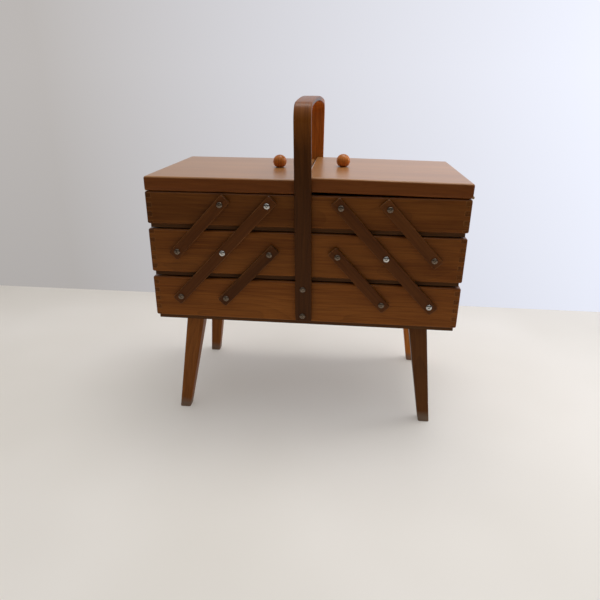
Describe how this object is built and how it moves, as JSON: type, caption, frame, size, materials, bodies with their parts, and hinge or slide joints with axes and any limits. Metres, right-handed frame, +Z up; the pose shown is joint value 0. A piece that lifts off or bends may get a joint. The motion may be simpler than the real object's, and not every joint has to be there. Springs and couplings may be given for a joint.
{
  "type": "cantilever sewing box",
  "caption": "Wooden cantilever sewing box on splayed legs: two stacks of trays swing outwards on flat links, with hinged lids, turned knobs and a bent carrying handle.",
  "frame": {"origin": "on the floor, under the middle of the box", "axes": "+X to the right, +Y to the back, +Z up"},
  "size_m": [0.429, 0.2346, 0.451],
  "materials": {
    "board": "satin varnish over straight-grained wood",
    "panel": "dark stained plywood",
    "lid": "satin varnish over straight-grained wood",
    "link": "satin varnish",
    "handle": "steam-bent strip, satin varnish",
    "leg": "satin varnish",
    "knob": "gloss varnish, turned",
    "steel": "dull, slightly tarnished",
    "brass": "dull"
  },
  "bodies": {
    "base": {"bottom_front_board": "board", "bottom_back_board": "board", "bottom_left_board": "board", "bottom_right_board": "board", "bottom_floor": "panel", "leg_front_left": "leg", "leg_screw_front_left": "steel", "leg_front_right": "leg", "leg_screw_front_right": "steel", "handle_screw_front_1": "steel", "handle_screw_front_2": "steel", "leg_back_left": "leg", "leg_screw_back_left": "steel", "leg_back_right": "leg", "leg_screw_back_right": "steel", "handle_screw_back_1": "steel", "handle_screw_back_2": "steel", "handle": "handle"},
    "left_middle_tray": {"middle_left_front_board": "board", "middle_left_back_board": "board", "middle_left_outer_board": "board", "middle_left_inner_board": "board", "middle_left_floor": "panel"},
    "left_top_tray": {"top_left_front_board": "board", "top_left_back_board": "board", "top_left_outer_board": "board", "top_left_inner_board": "board", "top_left_floor": "panel", "left_hinge_tray_leaf": "brass", "left_hinge_pin": "steel"},
    "left_long_links": {"left_front_long_link": "link", "left_back_long_link": "link"},
    "left_upper_links": {"left_front_upper_link": "link", "left_back_upper_link": "link"},
    "left_lower_links": {"left_front_lower_link": "link", "left_back_lower_link": "link"},
    "left_lid": {"left_hinge_lid_leaf": "brass", "left_lid": "lid", "left_knob": "knob"},
    "right_middle_tray": {"middle_right_front_board": "board", "middle_right_back_board": "board", "middle_right_outer_board": "board", "middle_right_inner_board": "board", "middle_right_floor": "panel"},
    "right_top_tray": {"top_right_front_board": "board", "top_right_back_board": "board", "top_right_outer_board": "board", "top_right_inner_board": "board", "top_right_floor": "panel", "right_hinge_tray_leaf": "brass", "right_hinge_pin": "steel"},
    "right_long_links": {"right_front_long_link": "link", "right_back_long_link": "link"},
    "right_upper_links": {"right_front_upper_link": "link", "right_back_upper_link": "link"},
    "right_lower_links": {"right_front_lower_link": "link", "right_back_lower_link": "link"},
    "right_lid": {"right_hinge_lid_leaf": "brass", "right_lid": "lid", "right_knob": "knob"}
  },
  "joints": [
    {"name": "left_stack_swing", "type": "hinge", "parent": "base", "child": "left_long_links", "pos_m": [-0.17, 0, 0.19], "axis": [0, -1, 0], "range_deg": [0, 87]},
    {"name": "left_lower_link_pivot", "type": "hinge", "parent": "base", "child": "left_lower_links", "pos_m": [-0.1065, 0, 0.19], "axis": [0, -1, 0], "range_deg": [0, 87]},
    {"name": "left_middle_tray_pivot", "type": "hinge", "parent": "left_long_links", "child": "left_middle_tray", "pos_m": [-0.10875, 0, 0.255], "axis": [0, -1, 0], "range_deg": [-87, 0]},
    {"name": "left_upper_link_pivot", "type": "hinge", "parent": "left_middle_tray", "child": "left_upper_links", "pos_m": [-0.1705, 0, 0.255], "axis": [0, -1, 0], "range_deg": [0, 87]},
    {"name": "left_top_tray_pivot", "type": "hinge", "parent": "left_long_links", "child": "left_top_tray", "pos_m": [-0.0475, 0, 0.32], "axis": [0, -1, 0], "range_deg": [-87, 0]},
    {"name": "left_lid_hinge", "type": "hinge", "parent": "left_top_tray", "child": "left_lid", "pos_m": [-0.21265, 0, 0.33445], "axis": [0, -1, 0], "range_deg": [0, 180]},
    {"name": "right_stack_swing", "type": "hinge", "parent": "base", "child": "right_long_links", "pos_m": [0.17, 0, 0.19], "axis": [0, 1, 0], "range_deg": [0, 87]},
    {"name": "right_lower_link_pivot", "type": "hinge", "parent": "base", "child": "right_lower_links", "pos_m": [0.1065, 0, 0.19], "axis": [0, 1, 0], "range_deg": [0, 87]},
    {"name": "right_middle_tray_pivot", "type": "hinge", "parent": "right_long_links", "child": "right_middle_tray", "pos_m": [0.10875, 0, 0.255], "axis": [0, 1, 0], "range_deg": [-87, 0]},
    {"name": "right_upper_link_pivot", "type": "hinge", "parent": "right_middle_tray", "child": "right_upper_links", "pos_m": [0.1705, 0, 0.255], "axis": [0, 1, 0], "range_deg": [0, 87]},
    {"name": "right_top_tray_pivot", "type": "hinge", "parent": "right_long_links", "child": "right_top_tray", "pos_m": [0.0475, 0, 0.32], "axis": [0, 1, 0], "range_deg": [-87, 0]},
    {"name": "right_lid_hinge", "type": "hinge", "parent": "right_top_tray", "child": "right_lid", "pos_m": [0.21265, 0, 0.33445], "axis": [0, 1, 0], "range_deg": [-0.9, 180]}
  ],
  "couplings": [
    {"joint": "left_lower_link_pivot", "follows": "left_stack_swing", "ratio": 1},
    {"joint": "left_middle_tray_pivot", "follows": "left_stack_swing", "ratio": -1},
    {"joint": "left_upper_link_pivot", "follows": "left_stack_swing", "ratio": 1},
    {"joint": "left_top_tray_pivot", "follows": "left_stack_swing", "ratio": -1},
    {"joint": "right_lower_link_pivot", "follows": "right_stack_swing", "ratio": 1},
    {"joint": "right_middle_tray_pivot", "follows": "right_stack_swing", "ratio": -1},
    {"joint": "right_upper_link_pivot", "follows": "right_stack_swing", "ratio": 1},
    {"joint": "right_top_tray_pivot", "follows": "right_stack_swing", "ratio": -1}
  ]
}
